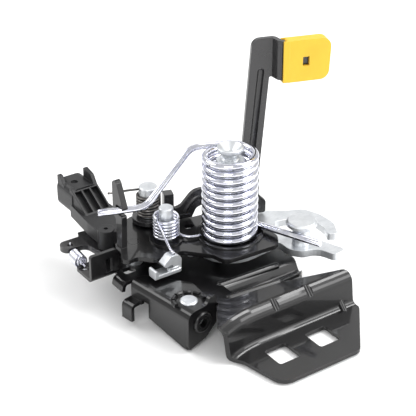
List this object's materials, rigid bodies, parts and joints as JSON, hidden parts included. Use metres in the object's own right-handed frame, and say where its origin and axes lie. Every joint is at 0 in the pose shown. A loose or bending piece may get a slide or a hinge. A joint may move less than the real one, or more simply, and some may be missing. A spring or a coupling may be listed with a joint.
{
  "type": "bonnet latch",
  "caption": "Bonnet latch with a stepped mounting flange, a sprung claw and pawl between plates, a safety lever with a yellow end cap, and a bonnet switch with its connector.",
  "frame": {"origin": "midway between the two square holes, on the underside of the mounting flange", "axes": "+Z out of the flange's face, towards the front of the car; +X along the line of the two holes, upwards on the car; +Y from the flange towards the claw"},
  "size_m": [0.1357, 0.1745, 0.1336],
  "materials": {
    "black_coat": "glossy black dip coat on stamped steel",
    "black_satin": "satin black coat on stamped steel",
    "zinc": "bright zinc plate",
    "bright_wire": "bright drawn spring wire",
    "dark_wire": "dark oiled spring wire",
    "yellow_plastic": "yellow moulded cap, fine grain",
    "black_plastic": "black moulding, fine grain",
    "contact": "plated contact"
  },
  "bodies": {
    "frame": {"base_plate": "black_coat", "cable_bracket": "black_coat", "bracket_rivet": "zinc", "top_plate": "black_coat", "claw_stud": "zinc", "spring_bush": "zinc", "claw_spacer": "zinc", "pawl_stud": "zinc", "pawl_spacer": "zinc", "rear_stud": "zinc", "rear_spacer": "zinc", "plate_rivet": "black_coat", "rivet_spacer": "zinc", "switch_housing": "black_plastic", "switch_pins": "contact", "switch_pivot": "zinc", "claw_spring": "bright_wire", "pawl_spring": "bright_wire", "lever_spring": "dark_wire", "switch_spring": "bright_wire"},
    "claw_body": {"claw": "zinc", "claw_pin": "zinc"},
    "pawl_body": {"pawl": "zinc"},
    "lever_body": {"safety_lever": "black_satin", "lever_cap": "yellow_plastic"},
    "switch_lever_body": {"switch_lever": "black_satin"}
  },
  "joints": [
    {"name": "claw_turn", "type": "hinge", "parent": "frame", "child": "claw_body", "pos_m": [0.0047, 0.0703, 0.0265], "axis": [0, 0, 1], "range_deg": [-40, 0], "stiffness_Nm_per_rad": 0.8, "springref_deg": 28.65, "deforming": ["claw_spring"]},
    {"name": "pawl_turn", "type": "hinge", "parent": "frame", "child": "pawl_body", "pos_m": [-0.0263, 0.0843, 0.0262], "axis": [0, 0, 1], "range_deg": [0, 12], "stiffness_Nm_per_rad": 0.15, "springref_deg": -22.92, "deforming": ["pawl_spring"]},
    {"name": "lever_turn", "type": "hinge", "parent": "frame", "child": "lever_body", "pos_m": [-0.0235, 0.1058, 0.0345], "axis": [0, 0, 1], "range_deg": [0, 16], "stiffness_Nm_per_rad": 0.2, "springref_deg": -17.19, "deforming": ["lever_spring"]},
    {"name": "switch_turn", "type": "hinge", "parent": "frame", "child": "switch_lever_body", "pos_m": [-0.0507, 0.1055, 0.0235], "axis": [0, 0, 1], "range_deg": [0, 12], "stiffness_Nm_per_rad": 0.05, "springref_deg": -17.19, "deforming": ["switch_spring"]}
  ]
}
